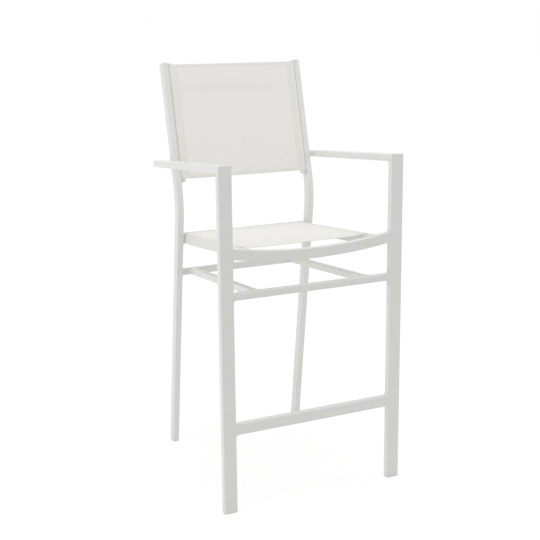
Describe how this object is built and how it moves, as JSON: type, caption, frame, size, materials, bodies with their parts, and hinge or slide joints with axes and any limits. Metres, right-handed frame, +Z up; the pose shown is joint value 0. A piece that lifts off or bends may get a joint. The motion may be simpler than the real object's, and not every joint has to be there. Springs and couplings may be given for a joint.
{
  "type": "bar stool",
  "caption": "Bar-height stool with arms and a back: a white welded tube frame that carries a stretched mesh seat and backrest, with a foot rail between the front legs.",
  "frame": {"origin": "on the floor, under the middle of the stool's outline", "axes": "+Z up, the stool faces -Y, +X to the right as seen from in front"},
  "size_m": [0.578, 0.5907, 1.2476],
  "materials": {
    "white_powder_coat": "satin white powder coat on aluminium tube",
    "white_sling_mesh": "woven coated-yarn mesh, matte",
    "white_plastic": "moulded, satin",
    "stainless_steel": "turned"
  },
  "bodies": {
    "root": {"front_leg_left": "white_powder_coat", "front_leg_right": "white_powder_coat", "armrest_left": "white_powder_coat", "armrest_right": "white_powder_coat", "armrest_cap_left": "white_plastic", "armrest_cap_right": "white_plastic", "arm_spacer_left": "white_powder_coat", "arm_spacer_right": "white_powder_coat", "rear_leg_left": "white_powder_coat", "rear_leg_right": "white_powder_coat", "rear_leg_cap_left": "white_plastic", "rear_leg_cap_right": "white_plastic", "front_glide_left": "white_plastic", "front_glide_right": "white_plastic", "rear_glide_left": "white_plastic", "rear_glide_right": "white_plastic", "foot_rail": "white_powder_coat", "lower_front_rail": "white_powder_coat", "lower_rear_rail": "white_powder_coat", "lower_side_rail_left": "white_powder_coat", "lower_side_rail_right": "white_powder_coat", "front_seat_rail": "white_powder_coat", "rear_seat_rail": "white_powder_coat", "seat_side_rail_left": "white_powder_coat", "seat_side_rail_right": "white_powder_coat", "back_sling_rail_left": "white_powder_coat", "back_sling_rail_right": "white_powder_coat", "back_crossbar": "white_powder_coat", "seat_sling": "white_sling_mesh", "back_sling": "white_sling_mesh", "seat_bead_left": "white_plastic", "seat_bead_right": "white_plastic", "back_bead_left": "white_plastic", "back_bead_right": "white_plastic", "back_rail_screw_left_lower": "stainless_steel", "back_rail_screw_left_upper": "stainless_steel", "back_rail_screw_right_lower": "stainless_steel", "back_rail_screw_right_upper": "stainless_steel"}
  },
  "joints": []
}
